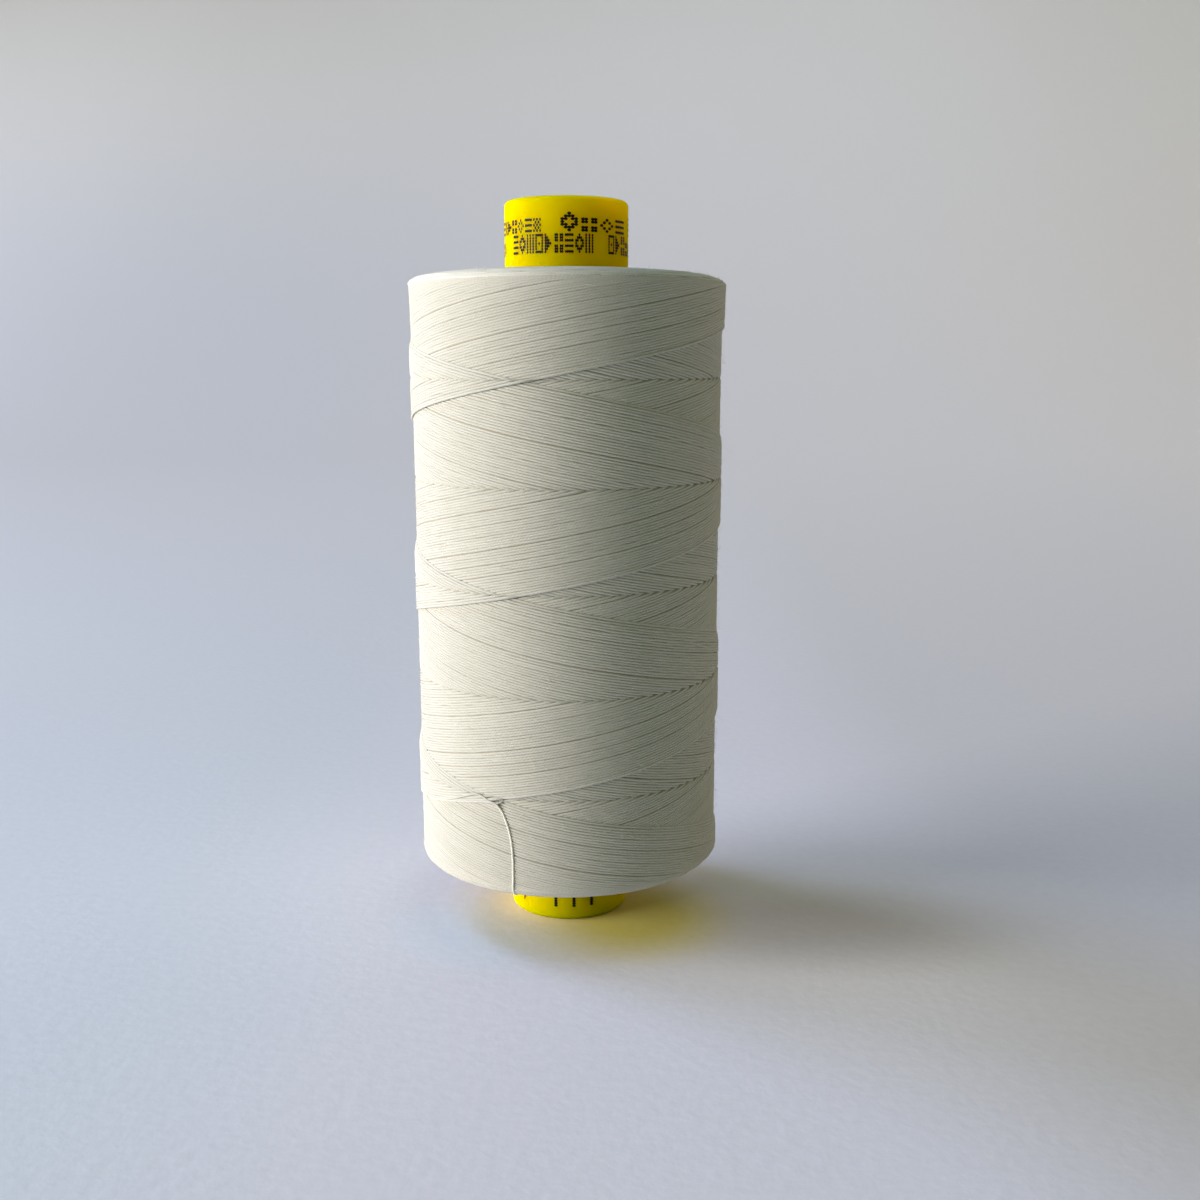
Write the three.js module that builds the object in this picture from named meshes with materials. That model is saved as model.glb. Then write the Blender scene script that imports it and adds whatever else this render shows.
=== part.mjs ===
// A spool of sewing thread: a plastic tube, the thread cross-wound on it, and the thread's loose end.
// Millimetres, +Z up. The origin is the centre of the tube's foot, and -Y is the side with the loose end.
// An azimuth is in turns from -Y, and grows towards +X.

import * as THREE from "three";

// The tube, which slides over a spool pin
const TUBE_LENGTH = 88;
const TUBE_RADIUS = 7.4;
const TUBE_WALL = 1.4;
const TUBE_RIM_ROUNDING = 0.6;
const TUBE_SIDES = 64;
const TUBE_ROUNDING_STEPS = 3;

// The wound body, from the bare foot of the tube to its bare head
const FOOT_HEIGHT = 7.6;
const WOUND_LENGTH = 71.8;
const WOUND_RADIUS = 18.7;
const TOP_FLARE = 0.28;
const TOP_FLARE_REACH = 6;
const TOP_SHOULDER = { width: 4.5, height: 1.08 };
const FOOT_SHOULDER = { width: 1.8, height: 0.9 };
const PIECE_GAP = 0.3;

// The cross-wound pattern: the thread turns three times on its way up and three on its way down
const STROKE_TURNS = 3;
const THREAD_STEP = 0.28;
const FOOT_CROSSING_AZIMUTH = 150 / 360;
const PATTERN_LEAN = 0.25 / 360;
const RING_GROOVE = 0.1;
const RING_GROOVE_WIDTH = 0.4;

// How finely the wound body is divided
const COLUMNS = 40;
const ROWS_IN_A_BAND = 12;
const SHOULDER_ROWS = 3;
const BORE_COLUMNS = 64;

// The loose end, lying along the last turn, caught at its crossing and tucked under the foot
const LOOSE_DIAMETER = 0.3;
const LOOSE_SIDES = 8;
const LOOSE_STEPS = 56;
const LYING_STEP = 0.08;
const LAST_TURN = [
  { azimuth: -76, height: 15.95 },
  { azimuth: -68, height: 16.4 },
  { azimuth: -60, height: 16.9 },
  { azimuth: -52, height: 17.45 },
  { azimuth: -44, height: 18.0 },
  { azimuth: -37, height: 18.45 },
  { azimuth: -31.5, height: 18.8 },
  { azimuth: -27.6, height: 18.95 },
  { azimuth: -25.2, height: 18.8 },
];
const HANGING_DOWN = [
  { azimuth: -23.2, height: 18.05 },
  { azimuth: -21.5, height: 16.9 },
  { azimuth: -20.2, height: 15.6 },
  { azimuth: -19.4, height: 14.2 },
  { azimuth: -19.0, height: 12.7 },
  { azimuth: -18.9, height: 11.1 },
  { azimuth: -18.9, height: 9.7 },
];
const TUCK_AZIMUTH = -19;
const TUCKED_UNDER = [
  { radius: 19.2, height: 8.4 },
  { radius: 18.7, height: 7.55 },
  { radius: 17.5, height: 7.12 },
  { radius: 15.2, height: 7.08 },
  { radius: 12.7, height: 7.1 },
  { radius: 10.2, height: 7.08 },
  { radius: 7.8, height: 7.1 },
];

const HEAD_HEIGHT = FOOT_HEIGHT + WOUND_LENGTH;
const RISE_PER_TURN = WOUND_LENGTH / STROKE_TURNS;
const BAND_HEIGHT = RISE_PER_TURN / 2;
const BANDS = 2 * STROKE_TURNS;

function onCylinder(azimuth, radius, height) {
  const angle = 2 * Math.PI * azimuth;
  return new THREE.Vector3(radius * Math.sin(angle), -radius * Math.cos(angle), height);
}

function tube() {
  const bore = TUBE_RADIUS - TUBE_WALL;
  const rim = TUBE_RIM_ROUNDING;
  const profile = [];
  const corner = (radius, height, start) => {
    for (let step = 0; step <= TUBE_ROUNDING_STEPS; step++) {
      const angle = start + ((Math.PI / 2) * step) / TUBE_ROUNDING_STEPS;
      profile.push(new THREE.Vector2(radius + rim * Math.cos(angle), height + rim * Math.sin(angle)));
    }
  };
  profile.push(new THREE.Vector2(bore, 0));
  corner(TUBE_RADIUS - rim, rim, -Math.PI / 2);
  corner(TUBE_RADIUS - rim, TUBE_LENGTH - rim, 0);
  profile.push(new THREE.Vector2(bore, TUBE_LENGTH));
  profile.push(profile[0].clone());
  return new THREE.LatheGeometry(profile, TUBE_SIDES).rotateX(Math.PI / 2);
}

// A quarter ellipse: how far the shoulder has drawn in at a height below its start.
function drawnIn(shoulder, depth) {
  const share = Math.min(Math.max(depth / shoulder.height, 0), 1);
  return shoulder.width * (1 - Math.sqrt(1 - share * share));
}

function radiusAt(height) {
  const belowHead = HEAD_HEIGHT - height;
  const aboveFoot = height - FOOT_HEIGHT;
  const flare = TOP_FLARE * Math.exp(-belowHead / TOP_FLARE_REACH);
  const head = drawnIn(TOP_SHOULDER, TOP_SHOULDER.height - belowHead);
  const foot = drawnIn(FOOT_SHOULDER, FOOT_SHOULDER.height - aboveFoot);
  const fromRing = Math.abs(aboveFoot / BAND_HEIGHT - Math.round(aboveFoot / BAND_HEIGHT)) * BAND_HEIGHT;
  const groove = RING_GROOVE * Math.max(0, 1 - fromRing / RING_GROOVE_WIDTH);
  return WOUND_RADIUS + flare - head - foot - groove;
}

// The rows of one band, as shares of its height: close together at a ring, and on a shoulder.
function bandRows(band) {
  const rows = [0];
  if (band === 0) {
    for (let step = 1; step <= SHOULDER_ROWS; step++) {
      const angle = ((Math.PI / 2) * step) / SHOULDER_ROWS;
      rows.push((FOOT_SHOULDER.height * (1 - Math.cos(angle))) / BAND_HEIGHT);
    }
  } else {
    rows.push(RING_GROOVE_WIDTH / BAND_HEIGHT);
  }
  const shouldered = band === BANDS - 1;
  const end = 1 - (shouldered ? TOP_SHOULDER.height : RING_GROOVE_WIDTH) / BAND_HEIGHT;
  const start = rows[rows.length - 1];
  for (let row = 1; row <= ROWS_IN_A_BAND - 2; row++) {
    rows.push(start + ((end - start) * row) / (ROWS_IN_A_BAND - 2));
  }
  if (shouldered) {
    for (let step = 1; step < SHOULDER_ROWS; step++) {
      const angle = ((Math.PI / 2) * step) / SHOULDER_ROWS;
      rows.push(1 - (TOP_SHOULDER.height * (1 - Math.sin(angle))) / BAND_HEIGHT);
    }
  }
  rows.push(1);
  return rows;
}

// The wound body. The newest layer ends at two fronts, the last turns laid on the way up and on the way
// down. They cross at each ring, on alternate sides, and bound in each band a V of rising turns, which
// opens upwards, and an A of falling turns, which closes upwards. The surface stands one thread higher
// just behind each front, and sinks by one thread on the way around to it.
function woundBody() {
  const points = [];
  const faces = [];

  const addPoint = (azimuth, height, sinking) => {
    const twist = PATTERN_LEAN * (height - FOOT_HEIGHT - BAND_HEIGHT);
    const radius = radiusAt(height) + THREAD_STEP * (1 - sinking);
    points.push(onCylinder(azimuth + twist, radius, height));
    return points.length - 1;
  };

  // Joins two rows of points, both listed against the azimuth, with triangles that face out.
  const join = (lower, upper) => {
    let low = 0;
    let high = 0;
    while (low < lower.length - 1 || high < upper.length - 1) {
      const nextLow = low < lower.length - 1 ? (low + 0.5) / (lower.length - 1) : Infinity;
      const nextHigh = high < upper.length - 1 ? (high + 0.5) / (upper.length - 1) : Infinity;
      if (nextLow <= nextHigh) {
        faces.push(lower[low + 1], lower[low], upper[high]);
        low++;
      } else {
        faces.push(lower[low], upper[high], upper[high + 1]);
        high++;
      }
    }
  };

  // The little wall along a front, from the newer turns down to the older ones.
  const joinStep = (low, high) => {
    faces.push(low.under, high.under, low.over);
    faces.push(high.under, high.over, low.over);
  };

  const bands = [];
  for (let band = 0; band < BANDS; band++) {
    const crossing = FOOT_CROSSING_AZIMUTH + band / 2;
    const rows = bandRows(band);
    const below = bands[band - 1];
    bands.push(
      rows.map((share, row) => {
        const height = FOOT_HEIGHT + (band + share) * BAND_HEIGHT;
        const rising = [];
        const falling = [];
        if (row === 0 && below) {
          const ring = below[below.length - 1];
          return { rising: ring.falling, falling: ring.rising };
        }
        const risingParts = row === 0 ? 0 : Math.max(1, Math.round(COLUMNS * share));
        const fallingParts = row === rows.length - 1 ? 0 : Math.max(1, Math.round(COLUMNS * (1 - share)));
        for (let part = 0; part <= risingParts; part++) {
          const age = risingParts ? (share * part) / risingParts : 0;
          rising.push(addPoint(crossing + share / 2 - age, height, 2 * age - share + 1));
        }
        for (let part = 0; part <= fallingParts; part++) {
          const age = fallingParts ? ((1 - share) * part) / fallingParts : 0;
          falling.push(addPoint(crossing - share / 2 - age, height, 2 * age + share));
        }
        return { rising, falling };
      }),
    );
  }

  const last = (row) => row[row.length - 1];
  for (const rows of bands) {
    for (let row = 0; row < rows.length - 1; row++) {
      const [lower, upper] = [rows[row], rows[row + 1]];
      join(lower.rising, upper.rising);
      join(lower.falling, upper.falling);
      joinStep(
        { over: lower.rising[0], under: last(lower.falling) },
        { over: upper.rising[0], under: last(upper.falling) },
      );
      joinStep(
        { over: lower.falling[0], under: last(lower.rising) },
        { over: upper.falling[0], under: last(upper.rising) },
      );
    }
  }

  // The bore, as two closed rows, and the end faces around it.
  const boreRow = (height) => {
    const row = [];
    for (let column = 0; column < BORE_COLUMNS; column++) {
      const azimuth = FOOT_CROSSING_AZIMUTH - column / BORE_COLUMNS;
      points.push(onCylinder(azimuth, TUBE_RADIUS + PIECE_GAP, height));
      row.push(points.length - 1);
    }
    return [...row, row[0]];
  };
  const foot = bands[0][0];
  const head = last(last(bands));
  const footBore = boreRow(FOOT_HEIGHT);
  const headBore = boreRow(HEAD_HEIGHT);
  join(footBore, [...foot.falling, foot.rising[0], foot.falling[0]]);
  join([...head.rising, head.falling[0], head.rising[0]], headBore);
  join(headBore, footBore);

  const geometry = new THREE.BufferGeometry();
  geometry.setFromPoints(points);
  geometry.setIndex(faces);
  geometry.computeVertexNormals();
  return geometry;
}

// The loose end lies just under the step of the rising front, and its catch and the end that hangs from it
// lie on the older turns there.
function looseEnd() {
  const clearance = PIECE_GAP + LOOSE_DIAMETER / 2;
  const lying = ({ azimuth, height }) =>
    onCylinder(azimuth / 360, radiusAt(height) + LYING_STEP + clearance, height);
  const tucked = ({ radius, height }) => onCylinder(TUCK_AZIMUTH / 360, radius, height);
  const route = new THREE.CatmullRomCurve3([
    ...LAST_TURN.map(lying),
    ...HANGING_DOWN.map(lying),
    ...TUCKED_UNDER.map(tucked),
  ]);
  const section = new THREE.Shape().absarc(0, 0, LOOSE_DIAMETER / 2, 0, 2 * Math.PI);
  return new THREE.ExtrudeGeometry(section, {
    steps: LOOSE_STEPS,
    curveSegments: LOOSE_SIDES / 2,
    bevelEnabled: false,
    extrudePath: route,
  });
}

const yellowPlastic = new THREE.MeshStandardMaterial({ color: 0xf2d90b, roughness: 0.35, metalness: 0 });
const creamThread = new THREE.MeshStandardMaterial({ color: 0xe6e3d6, roughness: 0.85, metalness: 0 });
const looseThread = new THREE.MeshStandardMaterial({ color: 0xeeebe0, roughness: 0.85, metalness: 0 });

const spool = new THREE.Group();

function addPiece(name, geometry, material) {
  const mesh = new THREE.Mesh(geometry, material);
  mesh.name = name;
  spool.add(mesh);
}

addPiece("tube", tube(), yellowPlastic);
addPiece("wound_thread", woundBody(), creamThread);
addPiece("loose_end", looseEnd(), looseThread);

export default spool;
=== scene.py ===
import math

import bpy
import numpy as np
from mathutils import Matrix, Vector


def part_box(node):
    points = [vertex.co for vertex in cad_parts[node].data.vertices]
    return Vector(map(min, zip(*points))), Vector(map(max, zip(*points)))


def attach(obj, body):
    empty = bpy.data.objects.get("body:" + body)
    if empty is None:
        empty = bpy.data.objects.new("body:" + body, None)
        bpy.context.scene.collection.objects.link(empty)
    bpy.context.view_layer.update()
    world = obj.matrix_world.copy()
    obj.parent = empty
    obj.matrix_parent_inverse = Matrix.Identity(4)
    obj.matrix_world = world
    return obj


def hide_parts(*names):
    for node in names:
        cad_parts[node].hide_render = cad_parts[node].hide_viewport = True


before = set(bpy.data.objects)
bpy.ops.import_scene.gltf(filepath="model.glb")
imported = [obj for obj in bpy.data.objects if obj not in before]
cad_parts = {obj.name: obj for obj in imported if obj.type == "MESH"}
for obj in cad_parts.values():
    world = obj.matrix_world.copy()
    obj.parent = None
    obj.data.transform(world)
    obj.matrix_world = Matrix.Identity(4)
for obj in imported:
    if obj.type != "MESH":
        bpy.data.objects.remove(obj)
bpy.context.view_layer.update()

# The camera, where the photograph was taken from: just below the height of the spool's head, a hand's
# breadth in front of it and tilted down. Sizes in this script are in millimetres up to the last step.
MM = 0.001
IMAGE_SIDE = 1200
FOCAL_PIXELS = 1283.7
CAMERA_PLACE = (4.02, -159.3, 69.15)
CAMERA_TILT_DOWN = 0.1826
SENSOR_WIDTH = 36.0
NEAREST_SEEN = 10.0

camera_lens = bpy.data.cameras.new("camera")
camera_lens.sensor_width = SENSOR_WIDTH
camera_lens.lens = SENSOR_WIDTH * FOCAL_PIXELS / IMAGE_SIDE
camera_lens.clip_start = NEAREST_SEEN * MM
camera = bpy.data.objects.new("camera", camera_lens)
camera.location = [MM * value for value in CAMERA_PLACE]
camera.rotation_euler = (math.pi / 2 - CAMERA_TILT_DOWN, 0, 0)
bpy.context.scene.collection.objects.link(camera)
bpy.context.scene.camera = camera

# The loose end of the thread: it lies along the last turn that was wound on the way up, is caught at its
# crossing, hangs over the foot's shoulder and is tucked under the winding. It is spun polyester in three
# plies, twisted, one strand of what the spool holds.
WOUND_LOW, WOUND_HIGH = (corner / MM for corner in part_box("wound_thread"))
FOOT = WOUND_LOW[2]
HEAD = WOUND_HIGH[2]
WOUND_RADIUS = 18.7
TOP_FLARE = 0.28
TOP_FLARE_REACH = 6.0
TOP_SHOULDER_WIDTH = 4.5
TOP_SHOULDER_HEIGHT = 1.08
FOOT_SHOULDER_WIDTH = 1.8
FOOT_SHOULDER_HEIGHT = 0.9
STROKE_TURNS = 3
BANDS = 2 * STROKE_TURNS
BAND_HEIGHT = (HEAD - FOOT) / BANDS
RING_GROOVE = 0.1
RING_GROOVE_WIDTH = 0.4
THREAD_STEP = 0.28
LOOSE_DIAMETER = 0.3
LYING_LIFT = 0.1
HANGING_LIFT = -0.02
LAST_TURN = [
    (-76, 15.95), (-68, 16.4), (-60, 16.9), (-52, 17.45), (-44, 18.0),
    (-37, 18.45), (-31.5, 18.8), (-27.6, 18.95), (-25.2, 18.8),
]
SUNK_AT_START = [0.6, 0.36, 0.16, 0.05]
HANGING_DOWN = [
    (-23.2, 18.05), (-21.5, 16.9), (-20.2, 15.6), (-19.4, 14.2),
    (-19.0, 12.7), (-18.9, 11.1), (-18.9, 9.7),
]
TUCK_AZIMUTH = -19
PRESSED_IN = 0.34
TUCKED_UNDER = [
    (19.2, 8.4), (18.7, 7.55), (17.5, 7.12), (15.2, 7.08), (12.7, 7.1), (10.2, 7.08), (7.8, 7.1),
]
PLIES = 3
PLY_TURN = 1.35
PLY_VALLEY = 0.74
PLY_CREST = 0.2
LOOSE_SIDES = 15
LOOSE_STEP = 0.09
KNOT_STEPS = 24
# Painted highlight: the loose end is drawn in paler copies of the winding's cream and of its darker
# crease-shade colour, so that it looks lit.
LOOSE_PAINTED_HIGHLIGHT_CREAM = (0.66, 0.645, 0.58, 1)
LOOSE_HIGHLIGHT_DARK_AND_CREASE_SHADE = (0.48, 0.465, 0.40, 1)


class Socket:
    """The output of a shader node. Arithmetic on it adds Math nodes, and node() adds any other node."""

    def __init__(self, tree, output=None):
        self.tree = tree
        self.output = output

    def node(self, kind, settings=None, inputs=None):
        made = self.tree.nodes.new(kind)
        for name, value in (settings or {}).items():
            setattr(made, name, value)
        for name, value in (inputs or {}).items():
            if isinstance(value, Socket):
                self.tree.links.new(value.output, made.inputs[name])
            else:
                made.inputs[name].default_value = value
        return Socket(self.tree, made.outputs[0])

    def other(self, name):
        return Socket(self.tree, self.output.node.outputs[name])

    def math(self, operation, *values):
        return self.node("ShaderNodeMath", {"operation": operation}, dict(enumerate(values)))

    def __add__(self, value):
        return self.math("ADD", self, value)

    def __radd__(self, value):
        return self.math("ADD", value, self)

    def __sub__(self, value):
        return self.math("SUBTRACT", self, value)

    def __rsub__(self, value):
        return self.math("SUBTRACT", value, self)

    def __mul__(self, value):
        return self.math("MULTIPLY", self, value)

    def __rmul__(self, value):
        return self.math("MULTIPLY", value, self)

    def __abs__(self):
        return self.math("ABSOLUTE", self)

    def mix(self, first, second):
        settings = {"data_type": "RGBA"}
        return self.node("ShaderNodeMix", settings, {0: self, 6: first, 7: second}).other(2)


def new_material(name, roughness, **constants):
    """A material with constants on the shader's own sockets, its shader node, and a Socket to start from."""
    material = bpy.data.materials.new(name)
    material.use_nodes = True
    shader = material.node_tree.nodes["Principled BSDF"]
    shader.inputs["Roughness"].default_value = roughness
    for label, value in constants.items():
        shader.inputs[label.replace("_", " ")].default_value = value
    return material, shader, Socket(material.node_tree)


def feed(shader, name, socket):
    socket.tree.links.new(socket.output, shader.inputs[name])


def feed_relief(shader, height, strength, depth):
    """Makes a height from 0 to 1, which stands for a depth in millimetres, the shader's relief."""
    inputs = {"Strength": strength, "Distance": depth * MM, "Height": height}
    feed(shader, "Normal", height.node("ShaderNodeBump", {}, inputs))


def spun_thread(name, colour, dark_and_crease_shade, bump, **constants):
    """Twisted, faintly fuzzy thread. Its map "thread" gives millimetres along it and turns around it.

    The creases between the plies get painted shade, a mix towards the darker colour; its fibres, soft
    patches and the strand's own random tone darken it too.
    """
    material, shader, start = new_material(
        name, roughness=0.8, Sheen_Weight=0.05, Sheen_Roughness=0.5, Specular_IOR_Level=0.18, **constants
    )
    place = start.node("ShaderNodeUVMap", {"uv_map": "thread"})
    split = start.node("ShaderNodeSeparateXYZ", {}, {0: place})
    along = split
    around = split.other("Y")
    twist = along * (PLIES / PLY_TURN) + around * PLIES
    ply = abs(start.math("SINE", twist * math.pi))
    stretched = start.node("ShaderNodeCombineXYZ", {}, {0: along * 1.5, 1: twist * 5.0, 2: around})
    fibres = start.node("ShaderNodeTexNoise", {}, {"Vector": stretched, "Scale": 1.0, "Detail": 2.0})
    surface = start.node("ShaderNodeNewGeometry")
    patches = start.node("ShaderNodeTexNoise", {}, {"Vector": surface, "Scale": 160.0})
    shade = start.node("ShaderNodeAttribute", {"attribute_name": "shade"}).other("Fac")
    # Painted shade in the ply creases, plus the fibres' grain, soft patches and each strand's own tone.
    tone_and_crease_shade = (1.0 - ply) * 0.35 + fibres * 0.4 + patches * 0.25 + shade * 0.5 - 0.3
    tone_and_crease_shade = start.math("MINIMUM", start.math("MAXIMUM", tone_and_crease_shade, 0.0), 1.0)
    feed(shader, "Base Color", tone_and_crease_shade.mix(colour, dark_and_crease_shade))
    feed_relief(shader, ply * 0.7 + fibres * 0.3, bump, depth=0.03)
    return material


def on_cylinder(azimuth, radius, height):
    """Points at azimuths in degrees from the front, growing to the right."""
    angle = np.radians(azimuth)
    return np.stack(np.broadcast_arrays(radius * np.sin(angle), -radius * np.cos(angle), height), axis=-1)


def drawn_in(width, height, depth):
    """How far a rounded shoulder is drawn in, at a depth into its height."""
    share = np.clip(depth / height, 0, 1)
    return width * (1 - np.sqrt(1 - share * share))


def wound_radius(height):
    """The body's radius: straight, flared under the head, drawn in at both shoulders and at each ring."""
    height = np.asarray(height, dtype=float)
    flare = TOP_FLARE * np.exp(-(HEAD - height) / TOP_FLARE_REACH)
    head = drawn_in(TOP_SHOULDER_WIDTH, TOP_SHOULDER_HEIGHT, TOP_SHOULDER_HEIGHT - (HEAD - height))
    foot = drawn_in(FOOT_SHOULDER_WIDTH, FOOT_SHOULDER_HEIGHT, FOOT_SHOULDER_HEIGHT - (height - FOOT))
    bands = (height - FOOT) / BAND_HEIGHT
    from_ring = np.abs(bands - np.round(bands)) * BAND_HEIGHT
    groove = RING_GROOVE * np.maximum(0, 1 - from_ring / RING_GROOVE_WIDTH)
    return WOUND_RADIUS + flare - head - foot - groove


def new_piece(name, points, faces, material):
    """A smooth mesh from points in millimetres, which rides on the spool."""
    mesh = bpy.data.meshes.new(name)
    mesh.from_pydata(np.asarray(points) * MM, [], faces)
    mesh.polygons.foreach_set("use_smooth", [True] * len(mesh.polygons))
    mesh.materials.append(material)
    piece = bpy.data.objects.new(name, mesh)
    bpy.context.scene.collection.objects.link(piece)
    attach(piece, "root")
    return piece


def add_map(piece, name, corners):
    """A map with a place for each face corner."""
    layer = piece.data.uv_layers.new(name=name)
    layer.uv.foreach_set("vector", np.asarray(corners, dtype=np.float32).ravel())


def smooth_route(knots, step):
    """A centripetal curve through the knots, and points on it a step apart."""
    knots = np.vstack([2 * knots[0] - knots[1], knots, 2 * knots[-1] - knots[-2]])
    route = []
    for a, b, c, d in zip(knots, knots[1:], knots[2:], knots[3:]):
        ta = 0
        tb = ta + np.linalg.norm(b - a) ** 0.5
        tc = tb + np.linalg.norm(c - b) ** 0.5
        td = tc + np.linalg.norm(d - c) ** 0.5
        t = np.linspace(tb, tc, KNOT_STEPS, endpoint=False)[:, None]
        ab = ((tb - t) * a + (t - ta) * b) / (tb - ta)
        bc = ((tc - t) * b + (t - tb) * c) / (tc - tb)
        cd = ((td - t) * c + (t - tc) * d) / (td - tc)
        abc = ((tc - t) * ab + (t - ta) * bc) / (tc - ta)
        bcd = ((td - t) * bc + (t - tb) * cd) / (td - tb)
        route.append(((tc - t) * abc + (t - tb) * bcd) / (tc - tb))
    route = np.vstack(route + [knots[-2]])
    reach = np.append(0, np.cumsum(np.linalg.norm(np.diff(route, axis=0), axis=1)))
    places = np.linspace(0, reach[-1], round(reach[-1] / step) + 1)
    return np.stack([np.interp(places, reach, axis) for axis in route.T], axis=1), places


def lying_on(stretch, lift):
    """The loose thread's centre, a lift above the turns that it lies on."""
    azimuth, height = np.array(stretch).T
    return on_cylinder(azimuth, wound_radius(height) + lift + LOOSE_DIAMETER / 2, height)


tuck_radius, tuck_height = np.array(TUCKED_UNDER).T
sunk = np.zeros(len(LAST_TURN))
sunk[: len(SUNK_AT_START)] = SUNK_AT_START
loose_knots = np.vstack([
    lying_on(LAST_TURN, LYING_LIFT - sunk),
    lying_on(HANGING_DOWN, HANGING_LIFT),
    on_cylinder(TUCK_AZIMUTH, tuck_radius - PRESSED_IN, tuck_height + PRESSED_IN),
])
loose_route, loose_reach = smooth_route(loose_knots, LOOSE_STEP)

ahead = np.gradient(loose_route, axis=0)
ahead /= np.linalg.norm(ahead, axis=1)[:, None]
side = [np.cross(ahead[0], (0, 0, 1))]
for direction in ahead:
    carried = side[-1] - direction * (side[-1] @ direction)
    side.append(carried / np.linalg.norm(carried))
side = np.array(side[1:])
up = np.cross(side, ahead)

around = np.arange(LOOSE_SIDES) * 2 * math.pi / LOOSE_SIDES
lobe = np.abs(np.cos(PLIES / 2 * (around[None] - loose_reach[:, None] * 2 * math.pi / PLY_TURN)))
ply_radius = LOOSE_DIAMETER / 2 * (PLY_VALLEY + PLY_CREST * lobe)
loose_points = (
    loose_route[:, None]
    + side[:, None] * (ply_radius * np.cos(around))[..., None]
    + up[:, None] * (ply_radius * np.sin(around))[..., None]
).reshape(-1, 3)

loose_faces = []
loose_corners = []
for step in range(len(loose_route) - 1):
    for column in range(LOOSE_SIDES):
        after = (column + 1) % LOOSE_SIDES
        near = step * LOOSE_SIDES
        far = near + LOOSE_SIDES
        loose_faces.append((near + column, near + after, far + after, far + column))
        turns = (column / LOOSE_SIDES, (column + 1) / LOOSE_SIDES)
        before, beyond = loose_reach[step : step + 2]
        loose_corners += [(before, turns[0]), (before, turns[1]), (beyond, turns[1]), (beyond, turns[0])]
loose_count = len(loose_points)
for ring in (range(LOOSE_SIDES - 1, -1, -1), range(loose_count - LOOSE_SIDES, loose_count)):
    loose_faces.append(list(ring))
    loose_corners += [(0, 0)] * LOOSE_SIDES

loose_thread = spun_thread(
    "loose_thread", LOOSE_PAINTED_HIGHLIGHT_CREAM, LOOSE_HIGHLIGHT_DARK_AND_CREASE_SHADE, bump=0.4,
    Subsurface_Weight=1.0, Subsurface_Radius=(1.0, 0.95, 0.8), Subsurface_Scale=0.0004,
)
loose_end = new_piece("loose_thread_end", loose_points, loose_faces, loose_thread)
add_map(loose_end, "thread", loose_corners)
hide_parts("loose_end")

# The tube: one injection moulding in glossy yellow plastic, open from end to end, with rounded rims and
# the faint line of the mould's joint. It is thin enough for light to soak through its wall.
TUBE_LOW, TUBE_HIGH = (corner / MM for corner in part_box("tube"))
TUBE_LENGTH = TUBE_HIGH[2] - TUBE_LOW[2]
TUBE_RADIUS = 7.4
TUBE_WALL = 1.4
TUBE_RIM = 0.6
TUBE_SIDES = 192
RIM_STEPS = 8
WALL_STEPS = 60
BORE_EDGE = 0.25
BORE_EDGE_MIDDLE = 0.07
MOULD_LINE_AZIMUTH = -41
MOULD_LINE_HEIGHT = 0.03
MOULD_LINE_WIDTH = 1.6
YELLOW = (0.74, 0.47, 0.0, 1)
DEEPER_YELLOW = (0.68, 0.43, 0.0, 1)


def mould_line(from_line):
    """How far the mould's line stands proud, at degrees from its middle."""
    return MOULD_LINE_HEIGHT * np.exp(-((from_line / MOULD_LINE_WIDTH) ** 2))


rim_turn = np.linspace(0, math.pi / 2, RIM_STEPS + 1)
foot_rim = np.stack([
    TUBE_RADIUS - TUBE_RIM + TUBE_RIM * np.sin(rim_turn),
    TUBE_RIM - TUBE_RIM * np.cos(rim_turn),
], axis=1)
head_rim = np.stack([foot_rim[::-1, 0], TUBE_LENGTH - foot_rim[::-1, 1]], axis=1)
wall_heights = np.linspace(TUBE_RIM, TUBE_LENGTH - TUBE_RIM, WALL_STEPS)[1:-1]
bore = TUBE_RADIUS - TUBE_WALL
outer_wall = np.stack([np.full_like(wall_heights, TUBE_RADIUS), wall_heights], axis=1)
inner_wall = np.stack([np.full_like(wall_heights, bore), wall_heights[::-1]], axis=1)
bore_foot = [(bore, BORE_EDGE), (bore + BORE_EDGE_MIDDLE, BORE_EDGE_MIDDLE), (bore + BORE_EDGE, 0)]
bore_head = [(radius, TUBE_LENGTH - height) for radius, height in reversed(bore_foot)]
tube_profile = np.vstack([foot_rim, outer_wall, head_rim, bore_head, inner_wall, bore_foot])

tube_azimuth = np.arange(TUBE_SIDES) * 360 / TUBE_SIDES
from_line = (tube_azimuth - MOULD_LINE_AZIMUTH + 90) % 180 - 90
is_outer = np.arange(len(tube_profile)) < len(foot_rim) + len(outer_wall) + len(head_rim)
tube_radius = tube_profile[:, :1] + is_outer[:, None] * mould_line(from_line)[None]
tube_points = on_cylinder(tube_azimuth[None], tube_radius, tube_profile[:, 1:]).reshape(-1, 3)
tube_faces = []
for row in range(len(tube_profile)):
    below = row * TUBE_SIDES
    above = (row + 1) % len(tube_profile) * TUBE_SIDES
    for column in range(TUBE_SIDES):
        after = (column + 1) % TUBE_SIDES
        tube_faces.append((below + column, below + after, above + after, above + column))

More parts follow.
